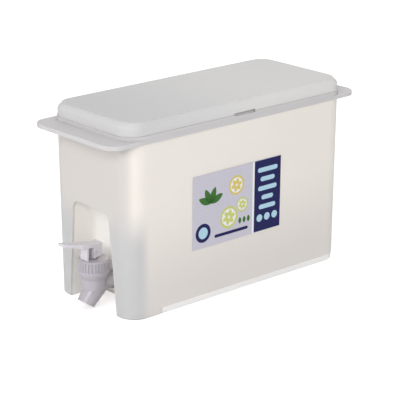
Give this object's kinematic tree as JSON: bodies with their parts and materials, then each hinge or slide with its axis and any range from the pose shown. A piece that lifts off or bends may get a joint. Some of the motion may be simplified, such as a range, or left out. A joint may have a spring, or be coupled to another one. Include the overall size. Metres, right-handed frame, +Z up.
{
  "type": "water jug with tap",
  "caption": "Long translucent fridge jug for drinks, with a lift-off lid, an ear grip at each end of the rim and a push-lever tap in an alcove at the front.",
  "frame": {"origin": "middle of the overall footprint, on the surface the jug stands on", "axes": "+Z up, the tap end faces -Y, the labelled side faces +X"},
  "size_m": [0.1102, 0.2988, 0.1718],
  "materials": {
    "tank_plastic": "satin",
    "lid_plastic": "satin",
    "label_print": "satin",
    "tap_plastic": "gloss",
    "washer_rubber": "matt",
    "silicone": "satin",
    "spring_steel": "bright"
  },
  "bodies": {
    "jug": {"tank": "tank_plastic", "side_label": "label_print", "tap_body": "tap_plastic", "outer_washer": "washer_rubber", "inner_washer": "washer_rubber", "back_nut": "tap_plastic", "tap_bonnet": "tap_plastic", "valve_plug": "silicone", "tap_spring": "spring_steel"},
    "lid": {"lid": "lid_plastic"},
    "stem": {"tap_stem": "tap_plastic"},
    "lever": {"tap_lever": "tap_plastic", "lever_pin": "tap_plastic"}
  },
  "joints": [
    {"name": "lid_lift", "type": "slide", "parent": "jug", "child": "lid", "axis": [0, 0, 1], "range_m": [0, 0.15]},
    {"name": "stem_lift", "type": "slide", "parent": "jug", "child": "stem", "axis": [0, 0, 1], "range_m": [0, 0.003], "deforming": ["tap_spring", "valve_plug"]},
    {"name": "lever_press", "type": "hinge", "parent": "stem", "child": "lever", "pos_m": [0, -0.11378, 0.0499], "axis": [1, 0, 0], "range_deg": [0, 16], "stiffness_Nm_per_rad": 0.12, "springref_deg": -11.46}
  ],
  "couplings": [
    {"joint": "stem_lift", "follows": "lever_press", "m_per_rad": 0.0098}
  ]
}
